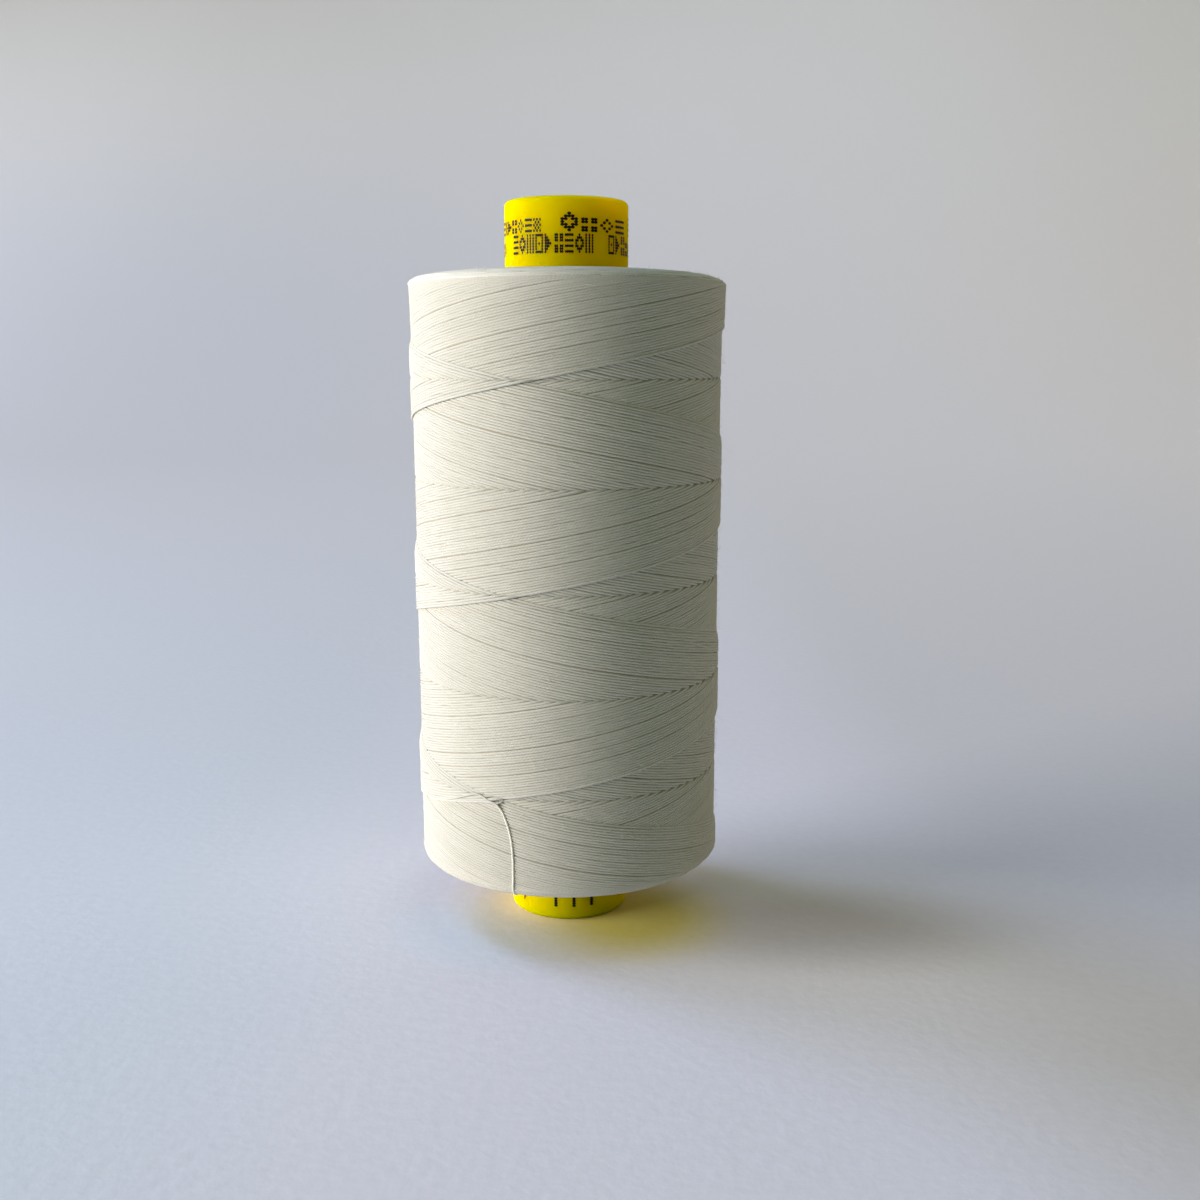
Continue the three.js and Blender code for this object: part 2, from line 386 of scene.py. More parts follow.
yellow_plastic, shader, start = new_material(
    "yellow_plastic",
    roughness=0.42,
    Specular_IOR_Level=0.0,
    Subsurface_Weight=1.0,
    Subsurface_Radius=(1.0, 0.6, 0.03),
    Subsurface_Scale=0.011,
)
surface = start.node("ShaderNodeTexCoord").other("Object")
clouds = start.node("ShaderNodeTexNoise", {}, {"Vector": surface, "Scale": 220.0, "Detail": 3.0})
feed(shader, "Base Color", clouds.mix(YELLOW, DEEPER_YELLOW))
feed(shader, "Roughness", clouds * 0.16 + 0.3)
flow = start.node("ShaderNodeTexNoise", {}, {"Vector": surface, "Scale": 900.0, "Detail": 2.0})
feed_relief(shader, flow, strength=0.15, depth=0.02)

tube = new_piece("yellow_tube", tube_points, tube_faces, yellow_plastic)
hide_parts("tube")

# The print on the tube: black ink, jetted on as dots. It is a run of plain ornaments, with two rows around
# the head and a row of ticks around the foot that the winding half covers.
DOT_STEP = 0.31
COLUMN_STEP = 0.198
DOT_SIDES = 10
DOT_HALF_WIDTH = 0.6
DOT_HALF_HEIGHT = 0.56
INK_LIFT = 0.006
INK_HEIGHT = 0.012
INK_BLACK = (0.002, 0.002, 0.002, 1)
INK_WORN = (0.01, 0.008, 0.003, 1)
TALL_ORNAMENTS = [
    ["#####", ".....", "#####", ".....", "#####", ".....", "#####"],
    ["..#..", ".###.", "##.##", "#...#", "##.##", ".###.", "..#.."],
    ["#.#.#", "#.#.#", "#.#.#", "#.#.#", "#.#.#", "#.#.#", "#.#.#"],
    ["#####", "#...#", "#...#", "#.#.#", "#...#", "#...#", "#####"],
    ["#....", "##...", "###..", "####.", "###..", "##...", "#...."],
    ["##.##", "##.##", "##.##", ".....", "##.##", "##.##", "##.##"],
]
LOW_ORNAMENTS = [
    ["##.##", "##.##", ".....", "##.##", "##.##"],
    ["..#..", ".#.#.", "#...#", ".#.#.", "..#.."],
    ["#####", ".....", "#####", ".....", "#####"],
    ["#.#.#", ".#.#.", "#.#.#", ".#.#.", "#.#.#"],
    ["#....", "###..", "#####", "###..", "#...."],
]
TICK = ["#", "#", "#", "#", "#", "#", "#"]
SLOPE = ["....#", "...##", "..##.", ".##..", ".##..", "##...", "#...."]
ORNAMENT_STEP = 9.2
# Azimuth of a run's first ornament, the kind, how many there are, and how wide each is against a plain one.
UPPER_ROW = [
    (-102.4, LOW_ORNAMENTS, 9, 1), (-2.2, TALL_ORNAMENTS[1:], 1, 2), (16.3, LOW_ORNAMENTS, 3, 2),
    (84, TALL_ORNAMENTS, 7, 1), (166, LOW_ORNAMENTS, 4, 2),
]
LOWER_ROW = [
    (-134, LOW_ORNAMENTS, 7, 1), (-54.4, TALL_ORNAMENTS, 9, 1), (43.2, TALL_ORNAMENTS[3:], 3, 1),
    (70.8, LOW_ORNAMENTS, 6, 1), (142, TALL_ORNAMENTS, 8, 1),
]
UPPER_ROW_HEIGHT = 84.1
LOWER_ROW_HEIGHT = 81.72
FOOT_ROW_HEIGHT = 1.95
FOOT_TICKS = [-155, -137, -119, -11.9, 5.9, 23.6, 118, 136, 154]
FOOT_SLOPES = [-84, -49, 60, 96, 172]

ink_points = []
ink_faces = []


def print_dots(ornament, azimuth, height, wide):
    """Adds an ornament's dots, each a low dome of ink, from its lower left corner."""
    dot = np.arange(DOT_SIDES) * 2 * math.pi / DOT_SIDES
    column_step = COLUMN_STEP * wide
    half_width = DOT_HALF_WIDTH * column_step
    half_height = DOT_HALF_HEIGHT * DOT_STEP
    lift = np.append(np.zeros(DOT_SIDES), INK_HEIGHT)
    for row, line in enumerate(reversed(ornament)):
        for column, mark in enumerate(line):
            if mark != "#":
                continue
            across = column * column_step + np.append(half_width * np.cos(dot), 0)
            upward = row * DOT_STEP + np.append(half_height * np.sin(dot), 0)
            turned = azimuth + np.degrees(across / TUBE_RADIUS)
            radius = TUBE_RADIUS + INK_LIFT + mould_line(turned - MOULD_LINE_AZIMUTH) + lift
            first = len(ink_points)
            ink_points.extend(on_cylinder(turned, radius, height + upward))
            for corner in range(DOT_SIDES):
                ink_faces.append((first + corner, first + (corner + 1) % DOT_SIDES, first + DOT_SIDES))


for row_height, runs in ((UPPER_ROW_HEIGHT, UPPER_ROW), (LOWER_ROW_HEIGHT, LOWER_ROW)):
    for azimuth, kind, count, wide in runs:
        for place in range(count):
            ornament = kind[place % len(kind)]
            print_dots(ornament, azimuth + place * ORNAMENT_STEP * wide, row_height, wide)
for azimuth in FOOT_TICKS:
    print_dots(TICK, azimuth, FOOT_ROW_HEIGHT, 2)
for azimuth in FOOT_SLOPES:
    print_dots(SLOPE, azimuth, FOOT_ROW_HEIGHT, 1)

black_ink, shader, start = new_material("black_ink", roughness=0.55, Specular_IOR_Level=0.1)
surface = start.node("ShaderNodeTexCoord").other("Object")
worn = start.node("ShaderNodeTexNoise", {}, {"Vector": surface, "Scale": 2500.0, "Detail": 2.0})
feed(shader, "Base Color", worn.mix(INK_BLACK, INK_WORN))
new_piece("printed_marks", ink_points, ink_faces, black_ink)

# The wound thread: one strand, cross-wound, three turns on each way up and three on each way down. The
# newest layer covers the spool: rising turns in a V over each ring, falling turns in the A between them.
# Each strand is laid beside the last, with a wider gap now and then.
TURNS_IN_A_LAYER = 75
HALF_THICK = 0.14
HALF_WIDE = 0.172
CROWN = 0.12
FOOT_CROSSING = 150.0
LEAN = 0.25
FOOT_REVERSAL = 0.9
HEAD_REVERSAL = 1.1
STRAND_STEP = 0.5
TUCK = 0.021
TUCK_DEPTH = 0.06
DIVE = 0.011
DIVE_EASE = 0.004
DIVE_DEPTHS = (0.9, 1.4)
LAST_DIVE = 0.6
UNDER_RING = 0.4 * DIVE
RUN_ON = 2.2 * DIVE
RISING_AHEAD = 7.5
SPACING_SPREAD = 0.006
DRIFT_WAVELENGTHS = (23.0, 9.0, 4.1)
SIDE_DRIFT = 0.018
DEPTH_DRIFT = 0.008
RISING_GAPS = {
    8: 0.09, 12: 0.06, 17: 0.13, 22: 0.03, 26: 0.06, 31: 0.12, 38: 0.05, 44: 0.05, 54: 0.12, 64: 0.09,
}
FALLING_GAPS = {4: 0.03, 8: 0.06, 18: 0.11, 33: 0.05, 47: 0.05, 56: 0.09, 66: 0.04}
RISING_FRONT_SUNK = [0.0, 0.05, 0.02]
FALLING_FRONT_SUNK = [0.2, 0.12, 0.06, 0.03]
WRAPPED_ON = np.array([-105, -54, 0, 54, 105])
WRAPPED_ON_EDGE = np.array([-150, -115, -75, -38, 0, 38, 75, 115, 150])
WIDTH_SPREAD = 0.02
SHADE_SPREAD = 0.12
STRIP_GAP = 1.0
STRIP_START = 0.3
STRIP_MARGIN = 0.08
MAP_FILL = 0.6
# The winding's cream, and the darker cream that paints shade into the ply creases and gives the fibres and
# patches their darker tone.
CREAM = (0.575, 0.565, 0.50, 1)
CREAM_DARK_AND_CREASE_SHADE = (0.38, 0.37, 0.31, 1)
THREAD_ANGLE = math.atan2(2 * BAND_HEIGHT, 2 * math.pi * WOUND_RADIUS)
BAND_LENGTH = BAND_HEIGHT / math.sin(THREAD_ANGLE)

chance = np.random.default_rng(7)
layer_width = 2 * math.pi * WOUND_RADIUS * math.sin(THREAD_ANGLE)


def turn_ages(wider_gaps):
    """How far behind the front each turn lies, as a share of the whole layer."""
    spacing = np.full(TURNS_IN_A_LAYER, (layer_width - sum(wider_gaps.values())) / TURNS_IN_A_LAYER)
    spacing += chance.normal(0, SPACING_SPREAD, TURNS_IN_A_LAYER)
    for turn, extra in wider_gaps.items():
        spacing[turn] += extra
    return np.append(0, np.cumsum(spacing / spacing.sum()))[:-1]


rising_ages = turn_ages(RISING_GAPS)
falling_ages = turn_ages(FALLING_GAPS)


def bend_at_ends(rise):
    """The height of a stroke that turns back smoothly at the foot and at the head."""
    left = HEAD - FOOT - rise
    return FOOT + rise + (np.hypot(rise, FOOT_REVERSAL) - rise) - (np.hypot(left, HEAD_REVERSAL) - left)


def soft_step(value):
    """From 0 to 1, with no corner at either end."""
    value = np.clip(value, 0, 1)
    return value * value * (3 - 2 * value)


def wander(reach, size):
    """A slow, random drift along a strand."""
    drift = np.zeros_like(reach)
    for wavelength in DRIFT_WAVELENGTHS:
        length = wavelength * chance.uniform(0.8, 1.25)
        drift += size * chance.normal(0, 0.6) * np.sin(2 * math.pi * (reach / length + chance.uniform()))
    return drift


def laid(band, share, age, height, rising):
    """The azimuth of a turn at a share of its band, and how many strands it lies above the body there."""
    side_way = share if rising else -share
    azimuth = FOOT_CROSSING + 180 * (band + side_way) - 360 * age + LEAN * (height - FOOT - BAND_HEIGHT)
    level = share - 2 * age if rising else 1 - 2 * age - share
    return azimuth, level


def strand(band, turn, rising):
    """One strand's centre line in one band, its outward directions, and the length of thread before it."""
    age = rising_ages[turn] if rising else falling_ages[turn]
    ahead = RISING_AHEAD * (1 - age) if rising else 0
    shows_from = age - ahead / 360
    first, last = (shows_from - TUCK, 1 + RUN_ON) if rising else (-RUN_ON, 1 - age + TUCK)
    steps = max(4, round((last - first) * BAND_LENGTH / STRAND_STEP))
    share = np.linspace(first, last, steps + 1)
    reach = (share - first) * BAND_LENGTH
    height = bend_at_ends((band + share) * BAND_HEIGHT)
    azimuth, level = laid(band, share, age, height, rising)
    azimuth = azimuth + ahead
    to_ring = share - 1 + UNDER_RING if rising else -share - UNDER_RING
    past_front = shows_from - share if rising else share - 1 + age
    dip = soft_step((to_ring + DIVE / 2 + DIVE_EASE) / (DIVE + 2 * DIVE_EASE))
    hidden = soft_step(past_front / TUCK)
    if rising and band == BANDS - 1 or not rising and band == 0:
        dip = dip * LAST_DIVE
    sunk_turns = RISING_FRONT_SUNK if rising else FALLING_FRONT_SUNK
    front_sunk = sunk_turns[turn] if turn < len(sunk_turns) else 0
    sink = THREAD_STEP * dip * chance.uniform(*DIVE_DEPTHS) + TUCK_DEPTH * hidden + front_sunk
    radius = wound_radius(np.clip(height, FOOT + FOOT_SHOULDER_HEIGHT, HEAD - TOP_SHOULDER_HEIGHT))
    radius = radius + THREAD_STEP * level + CROWN - HALF_THICK - sink + wander(reach, DEPTH_DRIFT)
    radius = radius + chance.normal(0, DEPTH_DRIFT)
    height = height + wander(reach, SIDE_DRIFT)
    return on_cylinder(azimuth, radius, height), on_cylinder(azimuth, 1.0, 0.0), reach


def rows_for(lengths, width):
    """Lays lengths in rows of a width, the longest first, and gives each one's row and start."""
    places = [None] * len(lengths)
    free = []
    for index in sorted(range(len(lengths)), key=lambda place: -lengths[place]):
        row = next((row for row, left in enumerate(free) if left >= lengths[index]), len(free))
        if row == len(free):
            free.append(width)
        places[index] = (row, width - free[row])
        free[row] -= lengths[index]
    return places, len(free)


def thread_bundle(name, strands, material, half_thick=HALF_THICK, half_wide=HALF_WIDE):
    """One mesh of strands, each given as its centre line, outward directions, lengths and section.

    Its baking map lays the strands side by side in rows, as strips that don't touch.
    """
    points, faces, shades, thread_map, bake_map = [], [], [], [], []
    strips = [reach[-1] + STRIP_GAP for _, _, reach, _ in strands]
    width = max(max(strips), math.sqrt(sum(strips) * MAP_FILL))
    places, row_count = rows_for(strips, width)
    count = 0
    for (centre, outward, reach, section), (row, before) in zip(strands, places):
        ahead = np.gradient(centre, axis=0)
        across = np.cross(ahead, outward)
        across /= np.linalg.norm(across, axis=1)[:, None]
        angle = np.radians(section)
        wide = half_wide * (1 + chance.normal(0, WIDTH_SPREAD))
        ring = (
            centre[:, None]
            + outward[:, None] * (half_thick * np.cos(angle))[None, :, None]
            + across[:, None] * (wide * np.sin(angle))[None, :, None]
        )
        points.append(ring.reshape(-1, 3))
        rings, corners = len(centre), len(section)
        near = count + np.arange(rings)[:-1, None] * corners + np.arange(corners)[None, :-1]
        far = near + corners
        faces.append(np.stack([near, near + 1, far + 1, far], axis=-1).reshape(-1, 4))
        count += rings * corners
        shades.append(np.full(rings * corners, chance.uniform(-SHADE_SPREAD, SHADE_SPREAD)))
        start_turn = chance.uniform(0, 50)
        over = (section - section[0]) / (section[-1] - section[0])
        along = np.repeat(reach, corners)
        thread_map.append(np.stack([along + start_turn, np.tile(section / 360, rings)], axis=1))
        across_row = (row + STRIP_MARGIN + (1 - 2 * STRIP_MARGIN) * np.tile(over, rings)) / row_count
        bake_map.append(np.stack([(before + along + STRIP_START) / width, across_row], axis=1))
    faces = np.concatenate(faces)
    piece = new_piece(name, np.concatenate(points), faces, material)
    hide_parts("wound_thread")
    shade = piece.data.attributes.new("shade", "FLOAT", "POINT")
    shade.data.foreach_set("value", np.concatenate(shades).astype(np.float32))
    add_map(piece, "OFBake", np.concatenate(bake_map)[faces.ravel()])
    add_map(piece, "thread", np.concatenate(thread_map)[faces.ravel()])


cream_thread = spun_thread("cream_thread", CREAM, CREAM_DARK_AND_CREASE_SHADE, bump=0.5)
for rising, way in ((True, "rising"), (False, "falling")):
    for half, share_name in enumerate(("even", "odd")):
        strands = []
        for band in range(BANDS):
            for turn in range(half, TURNS_IN_A_LAYER, 2):
                section = WRAPPED_ON_EDGE if turn == 0 else WRAPPED_ON
                strands.append((*strand(band, turn, rising), section))
        thread_bundle(f"{way}_turns_{share_name}", strands, cream_thread)

# The shoulders and end faces of the winding, where each stroke turned back: short arcs of strand, laid
# around the spool in rows from the side down to the tube, each end tucked under the next.
BEND_STEPS = 60
FIRST_ARC_ROW = 0.05
LAST_ARC_GAP = 0.1
ARC_ROW_STEP = 0.27
ARC_STEP = 0.9
ARC_LIFT = 0.1
ARC_TUCK = 0.3
ARC_TUCK_POWER = 8
ARCS_IN_A_ROW = (9, 14)
ARC_OVERLAP = (1.1, 1.35)
ARC_ROW_SPREAD = 0.04
ARC_SLANT = 0.12
ARC_LIFT_SPREAD = 0.02
TUBE_CLEARANCE = 0.35
# Painted highlight: a paler copy of the cream thread and its crease-shade colour, for the head's rim and the
# fuzz, so that they look lit.
PAINTED_HIGHLIGHT_CREAM = (0.72, 0.71, 0.64, 1)
HIGHLIGHT_DARK_AND_CREASE_SHADE = (0.52, 0.51, 0.45, 1)

painted_highlight_thread = spun_thread("painted_highlight_thread", PAINTED_HIGHLIGHT_CREAM, HIGHLIGHT_DARK_AND_CREASE_SHADE, bump=0.4)
# The head's turns take the painted-highlight copy of the thread, the foot's turns the plain cream.
for name, face, width, depth, upward, finish in (
    ("head_turns", HEAD, TOP_SHOULDER_WIDTH, TOP_SHOULDER_HEIGHT, 1, painted_highlight_thread),
    ("foot_turns", FOOT, FOOT_SHOULDER_WIDTH, FOOT_SHOULDER_HEIGHT, -1, cream_thread),
):
    strands = []
    edge_height = face - upward * depth
    edge_radius = float(wound_radius(edge_height))
    bend = np.linspace(0, math.pi / 2, BEND_STEPS)
    bend_radius = edge_radius - width * (1 - np.cos(bend))
    bend_height = edge_height + upward * depth * np.sin(bend)
    profile = np.vstack([np.stack([bend_radius, bend_height], axis=1), [TUBE_RADIUS + TUBE_CLEARANCE, face]])
    run = np.append(0, np.cumsum(np.linalg.norm(np.diff(profile, axis=0), axis=1)))
    for place in np.arange(FIRST_ARC_ROW, run[-1] - LAST_ARC_GAP, ARC_ROW_STEP):
        arcs = chance.integers(*ARCS_IN_A_ROW)
        begin = chance.uniform(0, 360)
        for arc in range(arcs):
            middle = begin + arc * 360 / arcs
            half_span = 180 / arcs * chance.uniform(*ARC_OVERLAP)
            radius_here = np.interp(place, run, profile[:, 0])
            steps = max(6, round(math.radians(2 * half_span) * radius_here / ARC_STEP))
            turn = np.linspace(-1, 1, steps + 1)
            shifted = place + chance.normal(0, ARC_ROW_SPREAD) + ARC_SLANT * turn * chance.normal()
            shifted = np.clip(shifted, 0, run[-1])
            radius = np.interp(shifted, run, profile[:, 0])
            height = np.interp(shifted, run, profile[:, 1])
            slope = np.interp(shifted, run, np.gradient(profile[:, 0], run))
            rise = np.interp(shifted, run, np.gradient(profile[:, 1], run))
            normal_out = upward * rise
            normal_up = -upward * slope
            tucked = ARC_TUCK * np.abs(turn) ** ARC_TUCK_POWER
            lift = ARC_LIFT - HALF_THICK - tucked + chance.normal(0, ARC_LIFT_SPREAD)
            azimuth = middle + half_span * turn
            centre = on_cylinder(azimuth, radius + lift * normal_out, height + lift * normal_up)
            outward = on_cylinder(azimuth, normal_out, normal_up)
            reach = np.append(0, np.cumsum(np.linalg.norm(np.diff(centre, axis=0), axis=1)))
            strands.append((centre, outward, reach, WRAPPED_ON))
    thread_bundle(name, strands, finish)

# One turn at the loose end's catch, pulled up out of its place into a flat loop, and the fuzz: short fibre
# ends that stand off the spun thread all over the winding.
LIFTED_TURN = [
    (-55, 17.25), (-48, 17.9), (-42, 18.6), (-36.5, 19.3), (-33.5, 19.6),
    (-31, 19.5), (-28.5, 19.2), (-25.5, 18.95), (-23, 19.1),
]
LIFTED_HEIGHT = np.array([0.1, 0.3, 0.36, 0.38, 0.38, 0.36, 0.36, 0.34, 0.1])
LIFTED_STEP = 0.15
LIFTED_HALF_THICK = 0.12
ALL_ROUND = np.array([-180, -120, -60, 0, 60, 120, 180])
FIBRES = 2600
FIBRE_LENGTHS = (0.3, 0.9)
FIBRE_STAND_OFFS = (0.15, 0.8)
RIM_FIBRES = 420
RIM_FIBRE_LENGTHS = (0.25, 0.6)
RIM_FIBRE_STAND_OFFS = (0.1, 0.7)
RIM_FIBRE_ROOTS = (0.35, 0.95)
FIBRE_HALF_THICK = 0.011
FIBRE_ROOT_DEPTH = 0.03
FIBRE_CURL = 0.35
FIBRE_POINTS = 5
FIBRE_SECTION = np.array([-180, -60, 60, 180])
STRAY_STAND_OFF = 1.1
# Azimuth, height and length of the longest fibres, which show at the winding's sides.
STRAY_FIBRES = [
    (79.5, 59.4, 1.6), (78.5, 37.0, 1.3), (79.0, 26.0, 1.5), (-80.5, 50.5, 1.1), (-79.5, 30.0, 1.2),
]

azimuth, height = np.array(LIFTED_TURN).T
lifted_knots = on_cylinder(azimuth, wound_radius(height) + LIFTED_HEIGHT, height)
route, reach = smooth_route(lifted_knots, LIFTED_STEP)
outward = route * (1, 1, 0)
outward /= np.linalg.norm(outward, axis=1)[:, None]
lifted_strand = (route, outward, reach, ALL_ROUND)
thread_bundle("lifted_turn", [lifted_strand], cream_thread, LIFTED_HALF_THICK, LIFTED_HALF_THICK)

fibres = []


def add_fibre(azimuth, height, length, stand_off):
    """A fibre that leaves the surface along the thread and curls away from it."""
    base = on_cylinder(azimuth, wound_radius(height) + CROWN - FIBRE_ROOT_DEPTH, height)
    out = on_cylinder(azimuth, 1.0, 0.0)
    sideways = np.cross((0, 0, 1), out)
    heading = chance.uniform(0, 2 * math.pi)
    along = sideways * math.cos(heading) + np.array([0, 0, 1]) * math.sin(heading)
    bend = np.cross(out, along) * chance.normal(0, FIBRE_CURL)
    share = np.linspace(0, 1, FIBRE_POINTS)[:, None]
    centre = base + length * (along * share + bend * share**2 + out * stand_off * share)
    reach = length * share[:, 0]
    fibres.append((centre, np.broadcast_to(out, centre.shape), reach, FIBRE_SECTION))


for _ in range(FIBRES):
    place = chance.uniform(FOOT + 0.5, HEAD - 0.6)
    azimuth = chance.uniform(-180, 180)
    add_fibre(azimuth, place, chance.uniform(*FIBRE_LENGTHS), chance.uniform(*FIBRE_STAND_OFFS))
for _ in range(RIM_FIBRES):
    place = HEAD - chance.uniform(*RIM_FIBRE_ROOTS) ** 2
    azimuth = chance.uniform(-180, 180)
    add_fibre(azimuth, place, chance.uniform(*RIM_FIBRE_LENGTHS), chance.uniform(*RIM_FIBRE_STAND_OFFS))
for azimuth, place, length in STRAY_FIBRES:
    add_fibre(azimuth, place, length, STRAY_STAND_OFF)
# The fibres take the paler, painted-highlight copy of the thread.
thread_bundle("fuzz", fibres, painted_highlight_thread, FIBRE_HALF_THICK, FIBRE_HALF_THICK)

# The older layers under the newest one, seen only in the gaps between strands and where strands dive.
# They are the wound body itself, one strand's thickness further in.
UNDER = 0.16
UNDER_FACE = 0.11
FIRST_AGE = 0.012
COLUMNS = 72
ROWS = 26
FACE_RINGS = 8
FACE_CLEARANCE = 0.1
# Painted shade: the older layers are a dark, mottled cream for the shade that falls in the gaps and where
# strands dive.
SHADED = (0.30, 0.275, 0.21, 1)
SHADED_PALER = (0.42, 0.395, 0.32, 1)

points = []
faces = []


def under_patch(band, rising):
    """The body under one band's rising or falling turns, from its front round to the other front."""
    first = len(points)
    for share in np.linspace(0, 1, ROWS + 1):
        height = FOOT + (band + share) * BAND_HEIGHT
        span = share if rising else 1 - share
        age = np.linspace(min(FIRST_AGE, span), span, COLUMNS + 1)
        azimuth, level = laid(band, share, age, height, rising)
        radius = wound_radius(height) + CROWN + THREAD_STEP * level - UNDER
        points.extend(on_cylinder(azimuth, radius, height))
    for row in range(ROWS):
        for column in range(COLUMNS):
            corner = first + row * (COLUMNS + 1) + column
            faces.append((corner + 1, corner, corner + COLUMNS + 1, corner + COLUMNS + 2))


for band in range(BANDS):
    under_patch(band, True)
    under_patch(band, False)
for face, shoulder_width, upward in (
    (HEAD - UNDER_FACE, TOP_SHOULDER_WIDTH, True),
    (FOOT + UNDER_FACE, FOOT_SHOULDER_WIDTH, False),
):
    first = len(points)
    for radius in np.linspace(WOUND_RADIUS - shoulder_width, TUBE_RADIUS + FACE_CLEARANCE, FACE_RINGS):
        points.extend(on_cylinder(np.arange(COLUMNS) * 360 / COLUMNS, radius, face))
    for row in range(FACE_RINGS - 1):
        for column in range(COLUMNS):
            after = (column + 1) % COLUMNS
            corner = first + row * COLUMNS
            quad = (corner + column, corner + after, corner + COLUMNS + after, corner + COLUMNS + column)
            faces.append(quad if upward else quad[::-1])

shaded_thread, shader, start = new_material("shaded_thread", roughness=0.9, Specular_IOR_Level=0.1)
surface = start.node("ShaderNodeTexCoord").other("Object")
mottle = start.node("ShaderNodeTexNoise", {}, {"Vector": surface, "Scale": 1800.0, "Detail": 2.0})
feed(shader, "Base Color", mottle.mix(SHADED, SHADED_PALER))
feed_relief(shader, mottle, strength=0.6, depth=0.1)
older_layers = new_piece("older_layers", points, faces, shaded_thread)
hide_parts("wound_thread")

# The floor and the wall behind it: one sheet of pale card that starts to curve up just behind the spool. Its
# colour holds painted light and shade: painted shade makes it darker low on the left of the wall, painted
# bluish skylight makes the left of the floor bluer and painted shade makes its right darker and greyer. By
# the tube's foot it takes on painted yellow light, a painted soft shade to the right and a painted lighter
# patch in front on the left.
CARD_HALF_WIDTH = 1800.0
CARD_FRONT = -900.0
SWEEP_START = 60.0
SWEEP_DEPTH = 1100.0
SWEEP_HEIGHT = 1500.0
SWEEP_STEPS = 48
CARD_TOP = 2600.0
PLAIN = (1, 1, 1, 1)
# Where one tone starts to turn into the next, and where it has.
WALL_LEFT_TO_RIGHT = (-250, 250)
WALL_LOW_TO_HIGH = (60, 260)
FLOOR_LEFT_TO_MIDDLE = (-60, -5)
FLOOR_MIDDLE_TO_RIGHT = (30, 70)
FLOOR_TO_WALL = (-20, 300)
# The wall's tones, with painted shade that darkens its left, most of all low down.
LOW_WALL_TONES_AND_SHADE = (0.53, 0.525, 0.54, 1), (0.93, 0.88, 0.89, 1)
HIGH_WALL_TONES_AND_SHADE = (0.66, 0.63, 0.585, 1), (0.95, 0.92, 0.95, 1)
PULP_TONES = (0.81, 0.79, 0.85, 1), (0.885, 0.86, 0.93, 1)
# Painted bluish skylight on the left of the floor, and painted shade on its right.
PAINTED_SKYLIGHT_TINTS = (0.87, 0.94, 0.945, 1), (0.99, 0.99, 0.99, 1)
PAINTED_RIGHT_SHADE = (0.87, 0.86, 0.83, 1)
# Painted light and shade on the floor: a place, how far its tint reaches to the sides and in depth, the
# share of that reach over which it keeps its full strength, and the tint.
PAINTED_YELLOW_LIGHT = ((8, -6), (16, 16), 0.25, (0.94, 0.86, 0.2, 1))
PAINTED_SOFT_SHADE = ((29, -9), (38, 16), 0.15, (0.70, 0.69, 0.70, 1))
PAINTED_LIT_SIDE = ((-8, -9), (18, 16), 0.2, (0.97, 1.07, 1.09, 1))

sweep = np.linspace(0, math.pi / 2, SWEEP_STEPS + 1)
card_profile = np.vstack([
    [(CARD_FRONT, 0.0), (0.0, 0.0)],
    np.stack([SWEEP_START + SWEEP_DEPTH * np.sin(sweep), SWEEP_HEIGHT * (1 - np.cos(sweep))], axis=1),
    [(SWEEP_START + SWEEP_DEPTH, CARD_TOP)],
])
card_points = [(side_x, y, z) for y, z in card_profile for side_x in (-CARD_HALF_WIDTH, CARD_HALF_WIDTH)]
card_faces = [(2 * row, 2 * row + 1, 2 * row + 3, 2 * row + 2) for row in range(len(card_profile) - 1)]
card_mesh = bpy.data.meshes.new("pale_card")
card_mesh.from_pydata(np.array(card_points) * MM, [], card_faces)
card_mesh.polygons.foreach_set("use_smooth", [True] * len(card_mesh.polygons))
pale_card, shader, start = new_material("pale_card", roughness=0.85, Specular_IOR_Level=0.1)
surface = start.node("ShaderNodeTexCoord").other("Object")
place = start.node("ShaderNodeSeparateXYZ", {}, {0: surface})


def share_between(value, low, high, kind="SMOOTHSTEP"):
    """From 0 where the value is low to 1 where it is high."""
    limits = {"Value": value, "From Min": low, "From Max": high}
    return start.node("ShaderNodeMapRange", {"interpolation_type": kind}, limits)


def vector_math(operation, *values):
    return start.node("ShaderNodeVectorMath", {"operation": operation}, dict(enumerate(values)))


def times(first, second):
    return vector_math("MULTIPLY", first, second)


def painted_tint_at(centre, reach, full_share, tint):
    """A tint of painted light and shade around a place on the floor, which fades out at the edge of an
    ellipse.
    """
    offset = vector_math("SUBTRACT", surface, (centre[0] * MM, centre[1] * MM, 0))
    scaled = times(offset, (1 / (reach[0] * MM), 1 / (reach[1] * MM), 0))
    distance = vector_math("LENGTH", scaled).other("Value")
    return share_between(distance, full_share, 1.0).mix(tint, PLAIN)


def along_axis(value, places, kind="SMOOTHSTEP"):
    """The share between two places in millimetres."""
    return share_between(value, places[0] * MM, places[1] * MM, kind)


# The wall: its tone with painted shade, darker low on the left.
from_left = along_axis(place, WALL_LEFT_TO_RIGHT)
from_below = along_axis(place.other("Z"), WALL_LOW_TO_HIGH)
wall_tone_and_painted_shade = from_below.mix(from_left.mix(*LOW_WALL_TONES_AND_SHADE), from_left.mix(*HIGH_WALL_TONES_AND_SHADE))
pulp = start.node("ShaderNodeTexNoise", {}, {"Vector": surface, "Scale": 700.0, "Detail": 3.0})
# The floor: the card's pulp tone, with painted skylight on the left and painted shade on the right.
painted_skylight = along_axis(place, FLOOR_LEFT_TO_MIDDLE).mix(*PAINTED_SKYLIGHT_TINTS)
painted_right_shade = along_axis(place, FLOOR_MIDDLE_TO_RIGHT).mix(PLAIN, PAINTED_RIGHT_SHADE)
floor_tone_and_painted_light = times(pulp.mix(*PULP_TONES), times(painted_skylight, painted_right_shade))
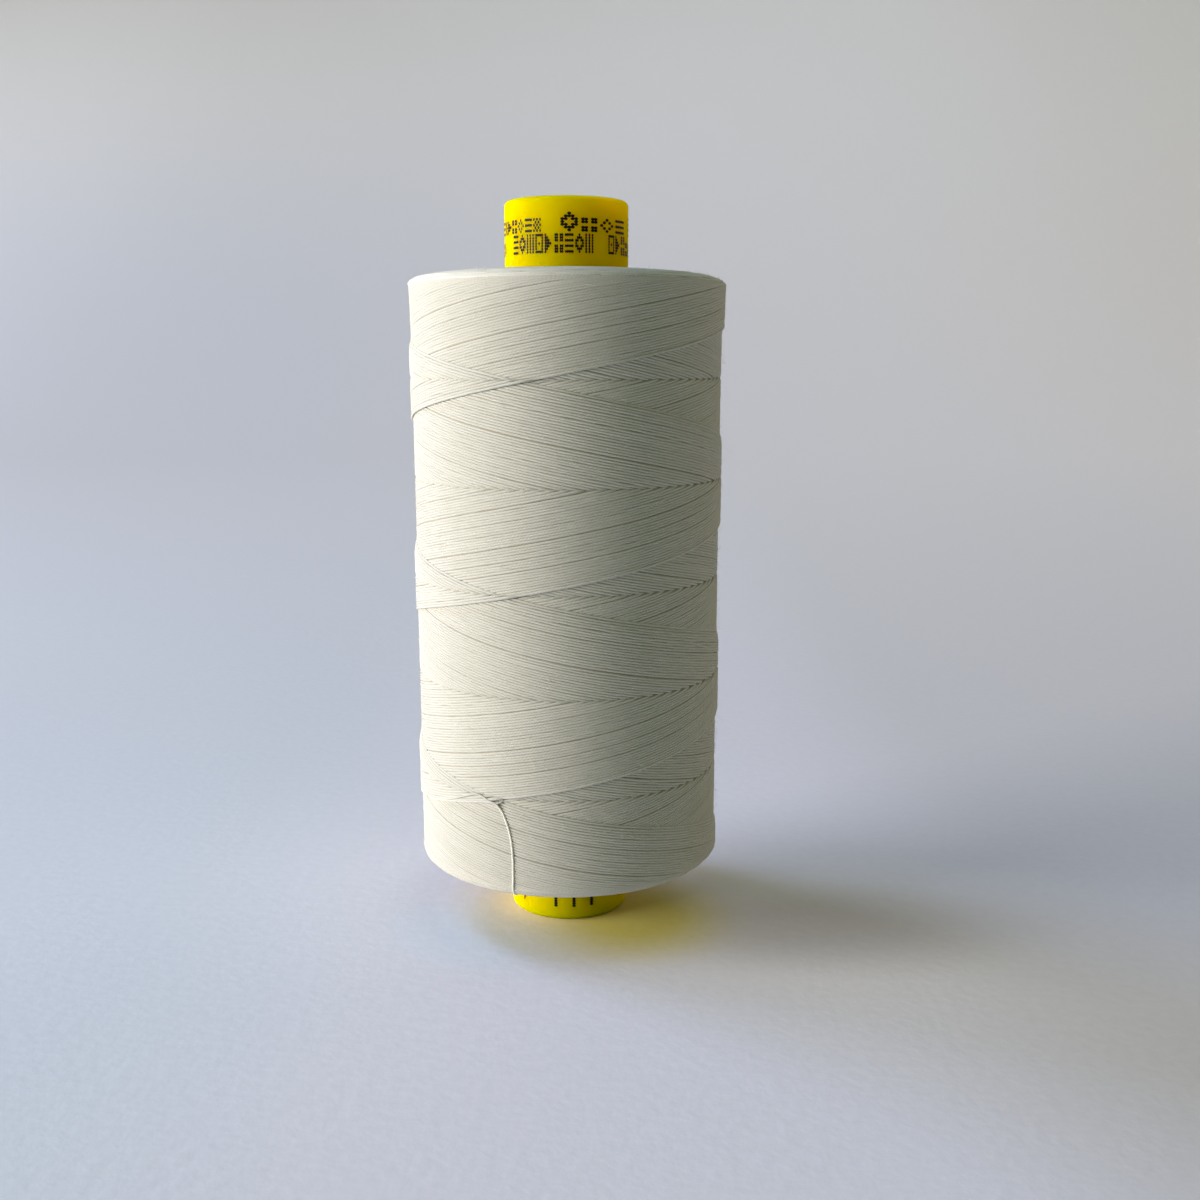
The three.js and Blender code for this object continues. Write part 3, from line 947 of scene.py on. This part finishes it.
# Painted yellow light, a painted lighter patch and a painted soft shade by the tube's foot.
for painted_tint in (PAINTED_LIT_SIDE, PAINTED_YELLOW_LIGHT, PAINTED_SOFT_SHADE):
    floor_tone_and_painted_light = times(floor_tone_and_painted_light, painted_tint_at(*painted_tint))
toward_wall = along_axis(place.other("Y"), FLOOR_TO_WALL, "LINEAR")
feed(shader, "Base Color", toward_wall.mix(floor_tone_and_painted_light, wall_tone_and_painted_shade))
feed_relief(shader, pulp, strength=0.12, depth=0.3)
card_mesh.materials.append(pale_card)
card = bpy.data.objects.new("pale_card", card_mesh)
bpy.context.scene.collection.objects.link(card)


# The light: a large soft window on the left, a little in front of the spool, and a dim, even room. Weak
# lamps give the bluer light of the sky and ceiling, the warm light of the far wall and a wash on the card.
SPOOL_MIDDLE = (0, 0, 40)
ROOM_COLOUR = (0.84, 1.0, 0.55, 1)
ROOM_STRENGTH = 0.19


def add_light(name, place, target, width, height, power, colour):
    """A rectangular lamp, sized and placed in millimetres, that faces its target."""
    light = bpy.data.lights.new(name, "AREA")
    light.shape = "RECTANGLE"
    light.size = width * MM
    light.size_y = height * MM
    light.energy = power
    light.color = colour
    lamp = bpy.data.objects.new(name, light)
    lamp.location = [MM * value for value in place]
    toward = Vector(target) - Vector(place)
    lamp.rotation_euler = toward.to_track_quat("-Z", "Y").to_euler()
    bpy.context.scene.collection.objects.link(lamp)


add_light("window", (-825, -183, 135), SPOOL_MIDDLE, 600, 290, 13.2, (1.0, 0.93, 0.89))
add_light("sky", (-547, 316, 609), SPOOL_MIDDLE, 260, 260, 2.2, (0.46, 0.6, 1.0))
add_light("ceiling", (-359, 0, 810), SPOOL_MIDDLE, 260, 260, 0.9, (0.25, 0.45, 1.0))
add_light("far_wall", (729, 421, 158), SPOOL_MIDDLE, 260, 260, 0.65, (1.0, 0.6, 0.4))
add_light("wall_wash", (900, 500, 1700), (450, 1150, 650), 800, 800, 2.2, (1.0, 0.95, 1.0))

world = bpy.data.worlds.new("room")
world.use_nodes = True
world.node_tree.nodes["Background"].inputs["Color"].default_value = ROOM_COLOUR
world.node_tree.nodes["Background"].inputs["Strength"].default_value = ROOM_STRENGTH
bpy.context.scene.world = world
bpy.context.scene.view_settings.view_transform = "Standard"
